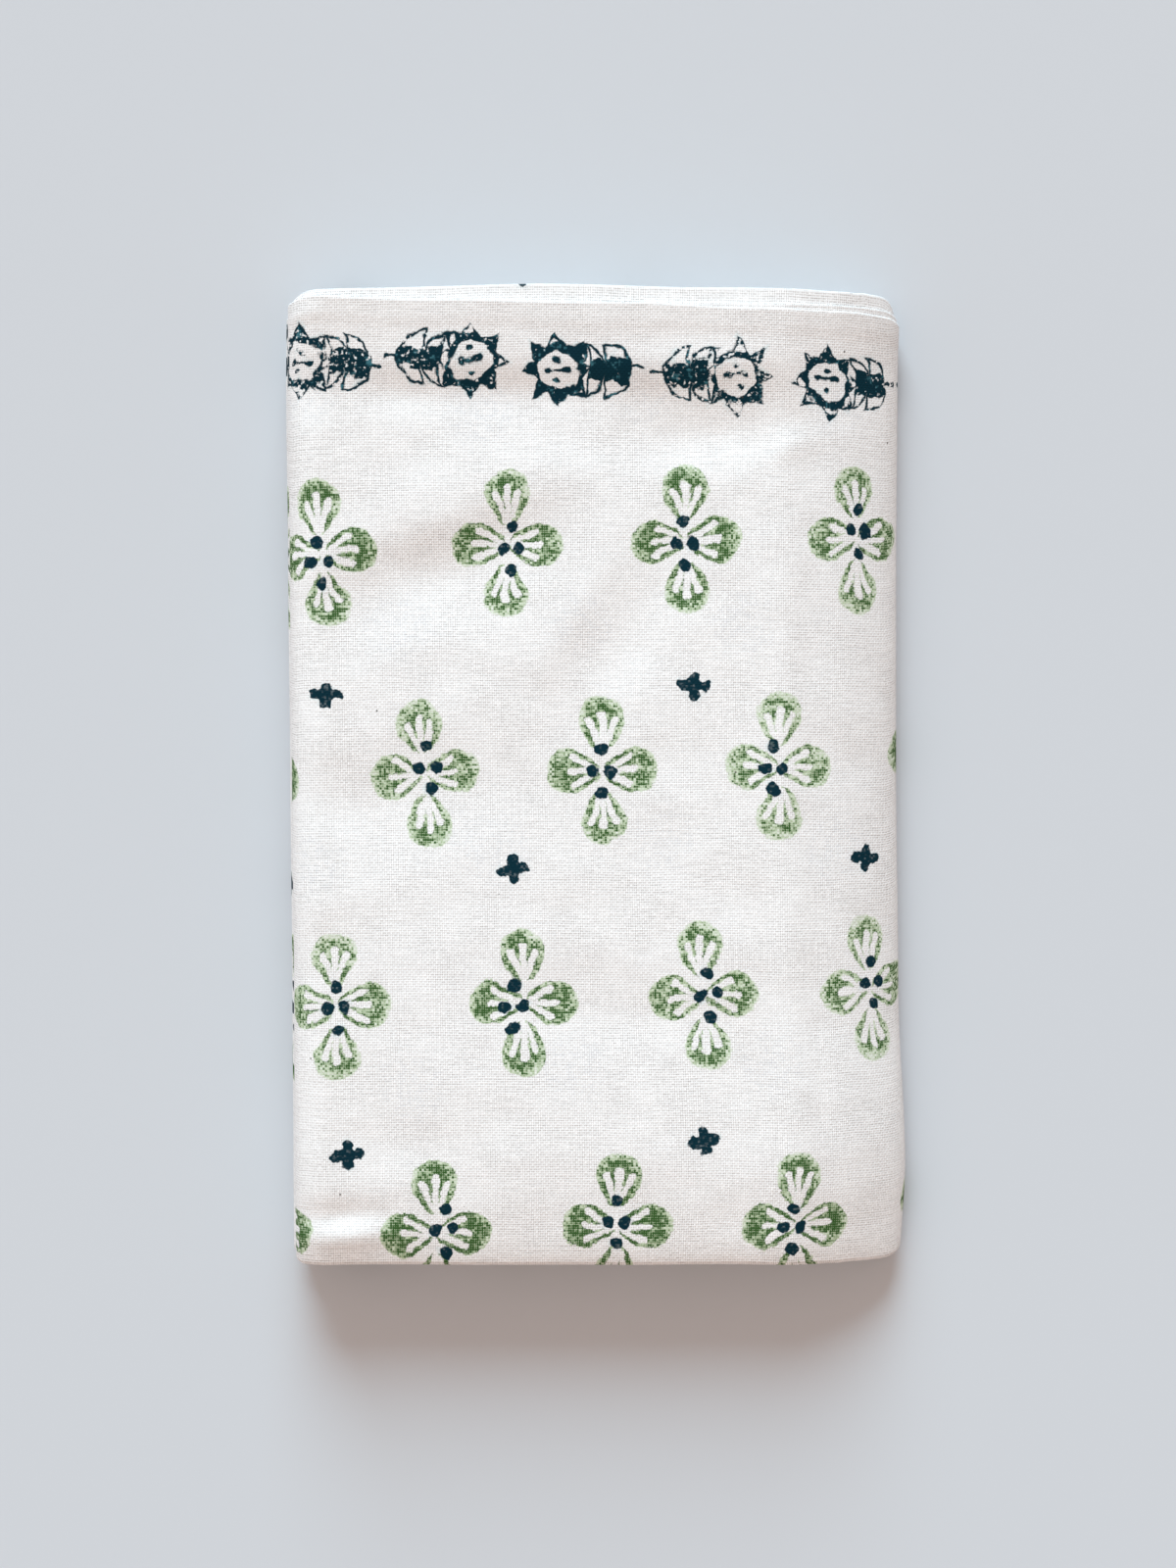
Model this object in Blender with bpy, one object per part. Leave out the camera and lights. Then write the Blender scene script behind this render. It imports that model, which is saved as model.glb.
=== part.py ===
# A folded tablecloth: one rectangle of plain-weave cotton, hems included.
#
# The cloth is folded twice along its length, into a bundle of four plies, and the bundle
# is then folded three times in half across. This solid is that bundle: one back-and-forth
# section of eight layers, each of them four plies thick, a little apart from each other.
# X runs across the folded cloth, Y from its front folds to its back edges, Z up.
# It lies flat on Z = 0, with X = Y = 0 at the middle of its bounding box.

import math
from collections import namedtuple

import bmesh
import bpy
from mathutils import Vector

MM = 0.001

# Driving sizes, in metres
LAYER_THICKNESS = 0.0025  # four plies and the air between them
LAYER_PITCH = 0.00435  # rise from the middle of one layer to the middle of the next
FREE_EDGE_X = -0.1168  # where the cloth starts, at the left of the lowest layer
HALF_WIDTH = 0.115

# The runs, in the order in which the cloth passes through the stack. Level 1 is the
# lowest layer and level 8 the top one. A run goes from the last row's end to its own, the
# first one from the free edge. Front and back are where its folds and edges lie at x = 0,
# and slant is how much further back its back edge lies at the left side. Millimetres.
Run = namedtuple("Run", "level end_x front_y back_y slant")
RUNS = (
    Run(1, 103.8, -185.2, 186.2, 0.8),
    Run(8, -109.2, -187.0, 183.2, 2.0),
    Run(5, 103.8, -186.0, 185.4, 1.0),
    Run(4, -115.4, -185.4, 186.4, 0.6),
    Run(3, 103.8, -184.8, 186.8, 0.6),
    Run(6, -109.2, -186.4, 184.6, 1.2),
    Run(7, 103.8, -186.8, 184.0, 1.6),
    Run(2, -117.2, -184.8, 186.0, 0.8),
)
LEVELS = len(RUNS)
FULL_RISE = (LEVELS - 1) * LAYER_PITCH  # from the lowest layer to the top one

# The outline isn't quite square: how far its left and right sides lie to the right of
# straight ones, from front to back. Millimetres.
Side = namedtuple("Side", "y left right")
SIDES = (
    Side(-187.0, 1.4, 2.6),
    Side(-150.0, 1.2, 4.4),
    Side(-80.0, 0.8, 0.8),
    Side(0.0, 0.0, 0.0),
    Side(80.0, -0.8, 0.2),
    Side(150.0, -1.6, 1.4),
    Side(187.0, -1.0, 2.0),
)

# How the stack settles
ROLL_LEAN = 0.0145  # how far the top of the right-hand roll leans back over the stack
LEAN_STARTS_X = 0.050
LEAN_FULL_X = 0.104
WEIGHT_SINK = 0.06  # how much closer the lowest layers lie, as a share of their rise
ROLL_SET_BACK = 0.0060  # how much the roll is drawn in at its front and back corners
LEFT_SET_BACK = 0.0032  # and the left-hand folds at theirs

# Where the stack is lower than in its middle: the share of its rise that it loses on the
# way from the first place to the second, along X or Y. Metres.
Sink = namedtuple("Sink", "axis starts full share")
SINKS = (
    Sink("x", 0.090, 0.120, 0.10),  # the roll
    Sink("x", -0.085, -0.118, 0.06),  # the left-hand folds
    Sink("y", -0.172, -0.188, 0.12),  # the front folds
    Sink("y", 0.150, 0.188, 0.07),  # the back edges
)

# Soft hollows and ridges, each a long round hump across the upper layers. Turn is the
# angle of its length from +X, in degrees. Rise is at the top layer, and negative for a
# hollow. Millimetres.
Swell = namedtuple("Swell", "x y turn half_length half_width rise")
SWELLS = (
    Swell(0.0, 70.0, 62.0, 50.0, 16.0, -1.2),
    Swell(-58.0, 78.0, 35.0, 44.0, 16.0, -0.9),
    Swell(-62.0, 44.0, 12.0, 55.0, 16.0, 0.8),
    Swell(-88.0, -168.0, 6.0, 28.0, 12.0, 1.1),
    Swell(62.0, -120.0, 80.0, 50.0, 18.0, -0.7),
    Swell(-20.0, -60.0, 95.0, 70.0, 22.0, 0.6),
)

# How finely the section is divided
RUN_STEP = 0.0215
BEND_STEPS_WIDE = 12
BEND_STEPS_NARROW = 4
STATIONS = 16  # from front to back
CROWDING = 0.09  # how much closer divisions lie near the ends of a length

COTTON = (0.85, 0.84, 0.82, 1.0)
COTTON_ROUGHNESS = 0.92


def smooth_step(low, high, value):
    t = min(max((value - low) / (high - low), 0.0), 1.0)
    return t * t * (3.0 - 2.0 * t)


def between(a, b, share):
    return a + (b - a) * share


def ease(t):
    """Spaces the divisions of a length closer together near its two ends."""
    return t - CROWDING * math.sin(2.0 * math.pi * t)


def height_of(level):
    """The middle of a layer, before the stack settles."""
    return LAYER_THICKNESS / 2 + (level - 1) * LAYER_PITCH


def section():
    """Rows of x, z, front, back and slant along the middle of the folded bundle."""
    rows = []
    start_x = FREE_EDGE_X
    for index, run in enumerate(RUNS):
        end_x = run.end_x * MM
        steps = math.ceil(abs(end_x - start_x) / RUN_STEP)
        first = 0 if index == 0 else 1  # a bend's last row is already the run's first
        for step in range(first, steps + 1):
            x = between(start_x, end_x, ease(step / steps))
            ends = [length * MM for length in run[2:]]
            rows.append((x, height_of(run.level), *ends))
        if index + 1 < LEVELS:
            rows += bend(run, RUNS[index + 1])
        start_x = end_x
    return rows


def bend(run, following):
    """The half turn that joins two runs, as rows like those of section()."""
    side = 1 if run.end_x > 0 else -1
    low = height_of(run.level)
    high = height_of(following.level)
    radius = (high - low) / 2  # below 0 where the cloth turns down
    finer = abs(radius) / (FULL_RISE / 2)
    steps = round(between(BEND_STEPS_NARROW, BEND_STEPS_WIDE, finer))
    rows = []
    for step in range(1, steps + 1):
        angle = math.pi * step / steps
        x = run.end_x * MM + side * abs(radius) * math.sin(angle)
        z = (low + high) / 2 - radius * math.cos(angle)
        share = smooth_step(0.0, 1.0, step / steps)
        ends = [between(a, b, share) * MM for a, b in zip(run[2:], following[2:])]
        rows.append((x, z, *ends))
    return rows


def side_shift(x, y):
    """How far the uneven outline moves a point to the right."""
    for front, back in zip(SIDES, SIDES[1:]):
        if y <= back.y * MM:
            break
    along = smooth_step(front.y * MM, back.y * MM, y)
    left = between(front.left, back.left, along)
    right = between(front.right, back.right, along)
    return between(left, right, smooth_step(-HALF_WIDTH, HALF_WIDTH, x)) * MM


def swell(x, y):
    """Rise of the top layer from the soft hollows and ridges."""
    total = 0.0
    for hump in SWELLS:
        dx = x / MM - hump.x
        dy = y / MM - hump.y
        turn = math.radians(hump.turn)
        along = (dx * math.cos(turn) + dy * math.sin(turn)) / hump.half_length
        across = (dy * math.cos(turn) - dx * math.sin(turn)) / hump.half_width
        total += hump.rise * MM * math.exp(-along * along - across * across)
    return total


def settle(x, y, z):
    """Where a point of the square-built stack lies once the cloth has sunk and leant."""
    rise = z - LAYER_THICKNESS / 2
    share = rise / FULL_RISE
    lean = ROLL_LEAN * share * smooth_step(LEAN_STARTS_X, LEAN_FULL_X, x)
    place = {"x": x, "y": y}
    sunk = sum(s.share * smooth_step(s.starts, s.full, place[s.axis]) for s in SINKS)
    rise *= 1.0 - WEIGHT_SINK * (1.0 - share)
    rise *= 1.0 - sunk + swell(x, y) / FULL_RISE
    return Vector((x - lean + side_shift(x, y), y, LAYER_THICKNESS / 2 + rise))


def folded_mesh():
    """The middle surface of the folded bundle, from a flat grid laid along the section."""
    rows = section()
    columns = len(rows) - 1
    bm = bmesh.new()
    bmesh.ops.create_grid(bm, x_segments=columns, y_segments=STATIONS, size=1.0)
    for vert in bm.verts:
        column = round((vert.co.x + 1.0) / 2.0 * columns)
        station = round((vert.co.y + 1.0) / 2.0 * STATIONS)
        x, z, front, back, slant = rows[column]
        draw_in = ROLL_SET_BACK * smooth_step(0.074, 0.119, x)
        draw_in += LEFT_SET_BACK * smooth_step(-0.100, -0.118, x)
        back -= slant * x / HALF_WIDTH
        y = between(front + draw_in, back - draw_in, ease(station / STATIONS))
        vert.co = settle(x, y, z)
    centre(bm)
    mesh = bpy.data.meshes.new("tablecloth")
    bm.to_mesh(mesh)
    bm.free()
    return mesh


def centre(bm):
    """Moves the mesh so that the middle of its width and depth is at X = Y = 0."""
    for axis in range(2):
        low = min(vert.co[axis] for vert in bm.verts)
        high = max(vert.co[axis] for vert in bm.verts)
        shift = Vector((0.0, 0.0, 0.0))
        shift[axis] = -(low + high) / 2
        bmesh.ops.translate(bm, verts=bm.verts, vec=shift)


def cotton_material():
    material = bpy.data.materials.new("cotton")
    material.use_nodes = True
    shader = material.node_tree.nodes["Principled BSDF"]
    shader.inputs["Base Color"].default_value = COTTON
    shader.inputs["Roughness"].default_value = COTTON_ROUGHNESS
    shader.inputs["Metallic"].default_value = 0.0
    return material


def tablecloth():
    mesh = folded_mesh()
    mesh.materials.append(cotton_material())
    mesh.shade_smooth()
    cloth = bpy.data.objects.new("tablecloth", mesh)
    bpy.context.scene.collection.objects.link(cloth)
    thicken = cloth.modifiers.new("thickness", "SOLIDIFY")
    thicken.thickness = LAYER_THICKNESS
    thicken.offset = 0.0
    thicken.use_even_offset = True
    thicken.use_rim = True
    return cloth


def clear_scene():
    for item in list(bpy.data.objects):
        bpy.data.objects.remove(item, do_unlink=True)


clear_scene()
tablecloth()
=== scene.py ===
import math
from collections import namedtuple
from functools import lru_cache, reduce
from itertools import accumulate
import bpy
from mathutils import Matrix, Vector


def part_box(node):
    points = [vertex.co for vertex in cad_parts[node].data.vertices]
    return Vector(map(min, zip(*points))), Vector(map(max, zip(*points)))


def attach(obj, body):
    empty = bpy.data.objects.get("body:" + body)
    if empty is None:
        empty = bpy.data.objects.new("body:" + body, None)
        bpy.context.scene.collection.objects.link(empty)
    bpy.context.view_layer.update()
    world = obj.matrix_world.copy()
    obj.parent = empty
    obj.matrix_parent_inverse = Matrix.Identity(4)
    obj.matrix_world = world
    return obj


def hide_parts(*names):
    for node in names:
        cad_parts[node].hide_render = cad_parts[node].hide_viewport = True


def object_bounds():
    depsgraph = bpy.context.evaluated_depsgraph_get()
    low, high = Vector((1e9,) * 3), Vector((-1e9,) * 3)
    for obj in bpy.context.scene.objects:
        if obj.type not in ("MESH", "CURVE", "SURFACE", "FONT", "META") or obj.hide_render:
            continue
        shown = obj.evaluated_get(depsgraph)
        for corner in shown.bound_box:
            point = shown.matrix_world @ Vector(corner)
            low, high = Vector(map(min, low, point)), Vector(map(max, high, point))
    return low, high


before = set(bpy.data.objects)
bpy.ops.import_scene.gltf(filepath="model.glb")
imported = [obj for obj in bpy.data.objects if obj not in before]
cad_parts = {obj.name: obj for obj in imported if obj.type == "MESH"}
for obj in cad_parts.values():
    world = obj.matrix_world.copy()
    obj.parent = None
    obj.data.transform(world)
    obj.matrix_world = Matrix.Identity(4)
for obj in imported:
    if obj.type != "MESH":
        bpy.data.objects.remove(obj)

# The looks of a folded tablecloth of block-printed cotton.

from types import SimpleNamespace

import bmesh
import bpy
from mathutils import Vector, noise

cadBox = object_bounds()
mm = 0.001

# The folds. Lengths here are in millimetres, and each point is scaled to metres at its end.
shape = {
    "clothThickness": 0.55,
    "hemThickness": 0.85,
    "hemWidth": 8.0,
    "plySpacing": 0.98,  # between the middles of two plies of a layer
    "layerPitch": 4.35,  # between the middles of two layers
    "lowestMiddle": 1.80,  # height of the middle of the lowest layer
    "freeEdgeX": -116.8,
    "halfWidth": 115.0,
    "shownStep": 3.0,  # mesh spacing on the ply that shows
    "underStep": 12.0,  # on the ply right under it
    "hiddenStep": 25.0,  # and on the others
    "plyLength": 370.0,  # from front to back, roughly, to space its rows
    "edgeSteps": (0.0, 0.35, 0.9, 2.4, 5.2, 7.6, 9.4),  # closer rows beside a hem
    "hemEdge": 0.45,  # how much of a hem's extra thickness is left at its very edge
    "foldSteps": {"outer": 9, "back": 7, "inner": 6},
    "rollLean": 18.0,
    "leanFrom": 40.0,
    "leanTo": 104.0,
    "weightSink": 0.06,
}

# The small unevenness of hand folding: how far it reaches, and its waves to a millimetre.
waver = {
    "edge": (0.8, 0.017, 0.35),  # folds and hems, along the section and from layer to layer
    "height": (0.28, 0.022, 0.11),  # layers, level and from layer to layer
    "top": (0.30, 0.040, 0.055),  # the top ply's own, across and along
    "topFine": (0.105, 0.10, 0.15),
}

# The eight layers, in the order in which the cloth passes through them. Level 1 is the lowest.
# Shown is 1 for the layer on top. At its back the hems of its two upper plies lie further in:
# hemInset and underInset give how far, from left to right.
Run = namedtuple("Run", "level endX front back slant shown")
runs = (
    Run(1, 103.8, -185.2, 186.2, 0.8, 0),
    Run(8, -109.2, -185.9, 185.5, 0.0, 1),
    Run(5, 103.8, -185.2, 185.4, 1.0, 0),
    Run(4, -115.4, -185.4, 186.4, 0.6, 0),
    Run(3, 103.8, -184.8, 186.8, 0.6, 0),
    Run(6, -109.2, -185.4, 184.6, 1.2, 0),
    Run(7, 103.8, -185.8, 184.0, 1.6, 0),
    Run(2, -117.2, -184.8, 186.0, 0.8, 0),
)
hemInset = ((-117, 4.5), (-60, 5.7), (0, 6.8), (60, 8.9), (107, 9.2), (119, 9.4))
underInset = ((-117, 4.3), (-60, 5.6), (0, 6.4), (60, 7.0), (107, 6.7), (119, 6.8))

# How far the back edges are drawn in from left to right, and how wide and deep each round
# corner is.
backDrawIn = ((-118, 2.2), (-88, 1.3), (-20, 0.0), (104, 1.9), (119, 1.6))
corners = {"frontLeft": (4.0, 2.4), "frontRight": (6.0, 3.8)}
corners |= {"backLeft": (13.0, 5.6), "backRight": (6.5, 5.6)}
hemRound = {"Left": 0.9, "Right": 0.45}  # how much of the back corners the upper hems follow
hemShown = 45.0  # how far past a bend they still lie where they do on top
hiddenInset = {"hem": 4.4, "under": 5.6}  # and how far in they lie on the other layers

# The outline isn't quite square. From front to back, how far right its two sides lie.
leftSide = ((-187, 1.4), (-150, 1.2), (-80, 0.8), (0, 0.0), (80, -0.8), (150, -1.6), (187, -1.0))
rightSide = ((-187, 2.6), (-150, 4.4), (-80, 1.7), (0, 0.9), (80, 0.9), (150, 1.4), (187, 2.0))

# Where the stack is lower: along x or y, from where to where, and which share of its height goes.
sinks = (
    ("x", 80.0, 124.0, 0.26),
    ("x", -104.0, -121.0, 0.12),
    ("y", -140.0, -200.0, 0.12),
    ("y", -175.0, -199.0, 0.08),
)

# Soft ridges and troughs: x, y, turn, half length, half width and rise. The first list bends all
# the upper layers, the second the top ply.
swells = (
    (0.0, 180.0, 0.0, 230.0, 24.0, 3.3),
    (-46.0, 144.5, 0.0, 66.0, 8.0, -1.0),
    (0.0, 191.0, 0.0, 230.0, 8.0, 1.7),
    (-108.0, 0.0, 90.0, 400.0, 9.0, 0.9),
    (44.0, 129.0, 3.0, 48.0, 14.0, -1.9),
    (-62.0, 75.0, 18.0, 46.0, 16.0, -1.7),
    (-46.0, 110.0, 14.0, 44.0, 15.0, 0.8),
    (16.0, 62.0, 60.0, 44.0, 13.0, -0.95),
    (-16.0, 68.0, 62.0, 38.0, 14.0, 0.6),
    (-72.0, -8.0, 3.0, 42.0, 17.0, -1.4),
    (-88.0, -168.0, 6.0, 28.0, 12.0, 0.4),
    (-70.0, -140.0, 2.0, 46.0, 13.0, -0.7),
    (62.0, -120.0, 80.0, 50.0, 18.0, -0.4),
    (20.0, -92.0, -4.0, 64.0, 14.0, -0.7),
)
creases = (
    (38.0, 156.0, 2.0, 46.0, 8.0, 1.1),
    (-46.0, 156.5, -1.0, 52.0, 8.0, 0.7),
    (-54.0, 98.0, 19.0, 42.0, 9.0, 0.7),
    (56.0, 117.0, 7.0, 32.0, 8.0, 0.35),
    (87.0, 125.0, 14.0, 16.0, 5.0, 0.8),
    (-10.0, 60.0, 61.0, 32.0, 7.0, 0.55),
    (-112.0, 174.0, 12.0, 8.0, 2.5, 0.5),
    (-97.0, -174.5, 4.0, 16.0, 4.6, 1.6),
    (-98.0, -166.5, 4.0, 18.0, 5.0, -1.1),
)


def smoothStep(low, high, value):
    t = min(max((value - low) / (high - low), 0.0), 1.0)
    return t * t * (3.0 - 2.0 * t)


def between(a, b, share):
    return a + (b - a) * share


def readOff(table, place):  # a smooth line through a short table of places and values
    for (lowPlace, lowValue), (highPlace, highValue) in zip(table, table[1:]):
        if place <= highPlace:
            break
    return between(lowValue, highValue, smoothStep(lowPlace, highPlace, place))


def stray(x, y, z):  # smooth noise, from about -1 to 1
    return noise.noise(Vector((x, y, z)))


def addObject(name, data):
    made = bpy.data.objects.new(name, data)
    bpy.context.scene.collection.objects.link(made)
    return made


def levelHeight(level):
    return shape["lowestMiddle"] + (level - 1) * shape["layerPitch"]


# One row for each column of the mesh, along the section. nx and nz point to the left of the way
# the cloth runs, and shown fades out round the bends.
Row = namedtuple("Row", "x z nx nz front back slant shown")


def evenStops(length, step):
    steps = math.ceil(length / step)
    return {length * k / steps for k in range(steps + 1)}


def sectionRows():
    rows = []
    x = shape["freeEdgeX"]
    for index, run in enumerate(runs):
        span = abs(run.endX - x)
        stops = evenStops(span, shape["shownStep"] if run.shown else shape["hiddenStep"])
        if index == 0:
            stops |= set(shape["edgeSteps"])
        else:
            stops.discard(0.0)  # the bend before it ends there
        if index + 1 == len(runs):
            stops |= {span - s for s in shape["edgeSteps"]}
        way = 1 if run.endX > x else -1
        for stop in sorted(stops):
            place = x + way * stop
            rows.append(Row(place, levelHeight(run.level), 0.0, way, *rowEnds(index, place)))
        if index + 1 < len(runs):
            rows += bendRows(index, way)
        x = run.endX
    return rows


def shownShare(index, x):  # 1 on the layer on top, and halfway down to 0 where the next ones join it
    if runs[index].shown:
        return 1.0
    joins = {k: runs[min(index, k)].endX for k in (index - 1, index + 1) if 0 <= k < len(runs)}
    return sum(0.5 * smoothStep(hemShown, 0.0, abs(x - joins[k])) for k in joins if runs[k].shown)


def rowEnds(index, x):
    run = runs[index]
    return run.front, run.back, run.slant, shownShare(index, x)


def bendRows(index, way):
    run = runs[index]
    starts, ends = rowEnds(index, run.endX), rowEnds(index + 1, run.endX)
    low, high = levelHeight(run.level), levelHeight(runs[index + 1].level)
    radius = (high - low) / 2
    steps = max(8, math.ceil(math.pi * abs(radius) / shape["shownStep"]))
    rows = []
    for step in range(1, steps + 1):
        angle = math.pi * step / steps
        up = math.copysign(1.0, radius)
        x = run.endX + way * abs(radius) * math.sin(angle)
        z = (low + high) / 2 - radius * math.cos(angle)
        nx, nz = -up * math.sin(angle), way * math.cos(angle)
        share = smoothStep(0.0, 1.0, step / steps)
        rows.append(Row(x, z, nx, nz, *[between(a, b, share) for a, b in zip(starts, ends)]))
    return rows


# One station for each row of the mesh, across the cloth: from the hem on top, round the front
# folds and the back fold, to the other hem. A station lies between two of the lines hem, front,
# back and under, and lift is how far it is from the middle of the layer. Hemmed is 1 on a hem.
Station = namedtuple("Station", "fromLine toLine share out lift hemmed ply")


def hemFullness(fromEdge):  # 1 on a hem, less at its very edge, and 0 past it
    if fromEdge == 0.0:
        return shape["hemEdge"]
    return 1.0 if fromEdge < shape["hemWidth"] else 0.0


def crossStations():
    spacing = shape["plySpacing"]
    stations = []

    def leg(fromLine, toLine, lift, step, hemAt, ply):
        length = shape["plyLength"]
        stops = evenStops(length, step)
        if hemAt is not None:
            near = shape["edgeSteps"]
            stops = {s for s in stops if near[-1] < abs(s - hemAt * length)}
            stops |= {abs(hemAt * length - n) for n in near}
        if stations:
            stops.discard(0.0)
        for stop in sorted(stops):
            hemmed = 0.0 if hemAt is None else hemFullness(abs(stop - hemAt * length))
            stations.append(Station(fromLine, toLine, stop / length, 0.0, lift, hemmed, ply))

    def fold(line, middle, radius, way, kind, fromPly, toPly):
        steps = shape["foldSteps"][kind]
        for step in range(1, steps):
            angle = math.pi * step / steps
            out = way * abs(radius) * math.sin(angle)
            lift = middle + radius * math.cos(angle)
            ply = between(fromPly, toPly, step / steps)
            stations.append(Station(line, line, 0.0, out, lift, 0.0, ply))
        stations.append(Station(line, line, 0.0, 0.0, middle - radius, 0.0, toPly))

    leg("hem", "front", -1.5 * spacing, shape["shownStep"], 0.0, 1)
    fold("front", 0.0, -1.5 * spacing, -1, "outer", 1, 1)
    leg("front", "back", 1.5 * spacing, shape["hiddenStep"], None, 4)
    fold("back", spacing, 0.5 * spacing, 1, "back", 4, 3)
    leg("back", "front", 0.5 * spacing, shape["hiddenStep"], None, 3)
    fold("front", 0.0, 0.5 * spacing, -1, "inner", 3, 2)
    leg("front", "under", -0.5 * spacing, shape["underStep"], 1.0, 2)
    return stations


def sideShift(x, y):
    half = shape["halfWidth"]
    return between(readOff(leftSide, y), readOff(rightSide, y), smoothStep(-half, half, x))


def humps(table, x, y):
    total = 0.0
    for middleX, middleY, turn, halfLength, halfWidth, rise in table:
        dx, dy = x - middleX, y - middleY
        turn = math.radians(turn)
        along = (dx * math.cos(turn) + dy * math.sin(turn)) / halfLength
        across = (dy * math.cos(turn) - dx * math.sin(turn)) / halfWidth
        total += rise * math.exp(-along * along - across * across)
    return total


fullRise = (len(runs) - 1) * shape["layerPitch"]


def settle(x, y, z):  # where a point of the square-built stack lies once it has sunk and leant
    rise = z - shape["lowestMiddle"]
    share = rise / fullRise
    lean = shape["rollLean"] * share * smoothStep(shape["leanFrom"], shape["leanTo"], x)
    place = {"x": x, "y": y}
    sunk = sum(part * smoothStep(starts, full, place[axis]) for axis, starts, full, part in sinks)
    rise *= 1.0 - shape["weightSink"] * (1.0 - share)
    rise *= 1.0 - sunk + humps(swells, x, y) / fullRise
    reach, level, upward = waver["height"]
    offGround = min(max(share, 0.0) * 3.0, 1.0)
    rise += reach * stray(x * level, y * level, z * upward) * offGround
    return Vector((x - lean + sideShift(x, y), y, shape["lowestMiddle"] + rise))


@lru_cache(None)
def cornerCut(end, row):  # how much the round corners take off a row's length
    x = settle(row.x, 0.0, row.z).x
    total = 0.0
    for side, way in (("Left", -1), ("Right", 1)):
        wide, deep = corners[end + side]
        past = min(max(1.0 - way * (outermost[side] - x) / wide, 0.0), 0.985)  # not quite square on
        total += deep * (1.0 - math.sqrt(1.0 - past * past))
    return total


@lru_cache(None)
def lineY(line, row):  # where one of a row's four lines lies, front to back
    reach, along, upward = waver["edge"]
    apart = 5.0 * ("front", "back", "hem", "under").index(line)
    strayed = reach * stray(row.x * along, row.z * upward, apart)
    if line == "front":
        return row.front + cornerCut("front", row) + 1.5 * shape["plySpacing"] + strayed
    back = row.back - row.slant * row.x / shape["halfWidth"] + strayed
    corner = cornerCut("back", row)
    drawnIn = back - readOff(backDrawIn, row.x) - corner
    if line == "back":
        return drawnIn - 0.5 * shape["plySpacing"]
    inset = readOff(hemInset if line == "hem" else underInset, row.x)
    inset += corner * hemRound["Right" if row.x > 0.0 else "Left"]
    return between(drawnIn - hiddenInset[line], back - inset, smoothStep(0.0, 0.4, row.shown))


def stationY(row, station):
    return between(lineY(station.fromLine, row), lineY(station.toLine, row), station.share) + station.out


def foldedPoint(row, station):
    y = stationY(row, station)
    lift = station.lift
    x = row.x + lift * row.nx
    z = row.z + lift * row.nz
    place = settle(x, y, z)
    if station.ply == 1 and lift < 0:
        rise = humps(creases, x, y)
        for kind, apart in (("top", 40.0), ("topFine", 60.0)):
            reach, across, along = waver[kind]
            rise += reach * stray(x * across, y * along, apart)
        place.z += max(2.0 * row.shown - 1.0, 0.0) * rise
    return place


def lengthsThrough(places, start=0.0):  # how far each place is along a line through them all
    return list(accumulate([(b - a).length for a, b in zip(places, places[1:])], initial=start))


def wayAlong(rows, stations, ply):  # along the cloth from the top's middle, at the middle of a ply
    station = next(s for s in stations if s.ply == ply and s.share > 0.48)
    way = lengthsThrough([foldedPoint(row, station) for row in rows])
    return [length - way[middleRow] for length in way]


def wayAcross(row, stations):  # across the cloth, from the top's middle to each station
    places = [Vector((stationY(row, s), s.lift)) for s in stations]
    return lengthsThrough(places, -lineY("hem", row))


def bakeShares(weights):  # places from 0 to 1, further apart where the weights are greater
    total = sum(weights[1:])
    return [sum(weights[1 : k + 1]) / total for k in range(len(weights))]


def hemWeight(station, fromEnd):  # the cloth's two ends are hemmed too, for a few columns each
    if fromEnd >= len(shape["edgeSteps"]) - 1:
        return station.hemmed
    atEdge = fromEnd == 0 or station.hemmed == shape["hemEdge"]
    return shape["hemEdge"] if atEdge else 1.0


def foldedMesh(rows, stations, topWay, midWay, across):
    columns, lanes = len(rows) - 1, len(stations) - 1
    frontWay = next(a for a, s in zip(across, stations) if s.share == 1.0)
    wide = bakeShares([1.0 + 1.2 * row.shown for row in rows])  # more room for what shows
    tall = bakeShares([1.0 + 0.5 * (s.ply == 1) for s in stations])
    flat, spread = {}, {}

    bm = bmesh.new()
    bmesh.ops.create_grid(bm, x_segments=columns, y_segments=lanes, size=1.0)
    hems = bm.verts.layers.deform.new()
    for vert in bm.verts:
        column = round((vert.co.x + 1.0) / 2.0 * columns)
        lane = round((vert.co.y + 1.0) / 2.0 * lanes)
        row, station = rows[column], stations[lane]
        slip = {1: 0.0, 4: smoothStep(0.05, 0.95, station.share)}.get(station.ply, 1.0)
        u = between(topWay[column], midWay[column], slip)
        v = across[lane]
        if station.fromLine == "hem":
            front = lineY("front", row)
            v = frontWay - (lineY("hem", row) - front) * (1.0 - station.share)
        flat[vert] = (u * mm, v * mm)
        spread[vert] = (wide[column], tall[lane])
        vert[hems][0] = hemWeight(station, min(column, columns - column))
        vert.co = foldedPoint(row, station) * mm
    printed = bm.loops.layers.uv.new("flatCloth")
    baked = bm.loops.layers.uv.new("OFBake")
    for face in bm.faces:
        for loop in face.loops:
            loop[printed].uv = flat[loop.vert]
            loop[baked].uv = spread[loop.vert]
    centreOnCad(bm)
    mesh = bpy.data.meshes.new("tableclothFolds")
    bm.to_mesh(mesh)
    bm.free()
    return mesh


def centreOnCad(bm):
    low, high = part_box("tablecloth")
    for axis in range(2):
        places = [vert.co[axis] for vert in bm.verts]
        shift = Vector((0.0, 0.0, 0.0))
        shift[axis] = (low[axis] + high[axis]) / 2 - (min(places) + max(places)) / 2
        bmesh.ops.translate(bm, verts=bm.verts, vec=shift)
    lowest = min(vert.co.z for vert in bm.verts)
    rise = low[2] + shape["hemThickness"] * mm / 2 - lowest
    bmesh.ops.translate(bm, verts=bm.verts, vec=(0.0, 0.0, rise))


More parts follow.
